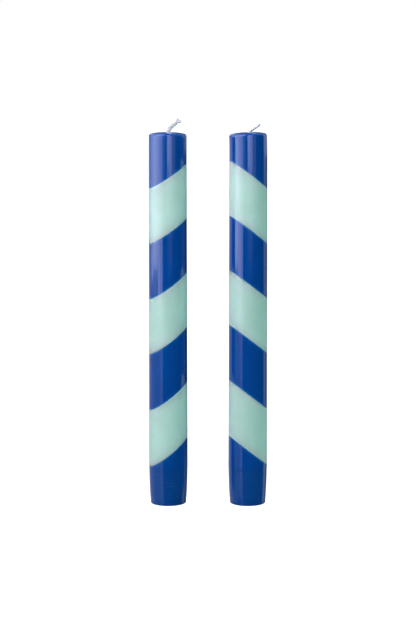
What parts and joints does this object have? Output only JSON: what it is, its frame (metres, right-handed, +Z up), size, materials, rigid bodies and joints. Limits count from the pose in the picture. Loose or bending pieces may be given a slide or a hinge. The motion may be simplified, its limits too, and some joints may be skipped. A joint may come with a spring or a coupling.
{
  "type": "striped dinner candle pair",
  "caption": "Matching straight dinner candles of solid wax in slanted two-colour layers, with tapered feet and bent cotton wicks.",
  "frame": {"origin": "on the table, midway between the two candles' axes", "axes": "+Z up along the candles, +X from the left candle to the right one as seen from the front, -Y towards the viewer"},
  "size_m": [0.067, 0.022, 0.2181],
  "materials": {
    "blue_wax": "glossy cobalt blue paraffin wax, duller on the pressed foot and the open top",
    "mint_wax": "glossy pale mint green paraffin wax",
    "wick_cotton": "flat braided white cotton"
  },
  "bodies": {
    "root": {"left_foot_blue_layer": "blue_wax", "left_lower_mint_layer": "mint_wax", "left_lower_blue_layer": "blue_wax", "left_middle_mint_layer": "mint_wax", "left_upper_blue_layer": "blue_wax", "left_upper_mint_layer": "mint_wax", "left_top_blue_layer": "blue_wax", "left_wick": "wick_cotton", "right_foot_blue_layer": "blue_wax", "right_lower_mint_layer": "mint_wax", "right_lower_blue_layer": "blue_wax", "right_middle_mint_layer": "mint_wax", "right_upper_blue_layer": "blue_wax", "right_upper_mint_layer": "mint_wax", "right_top_blue_layer": "blue_wax", "right_wick": "wick_cotton"}
  },
  "joints": []
}
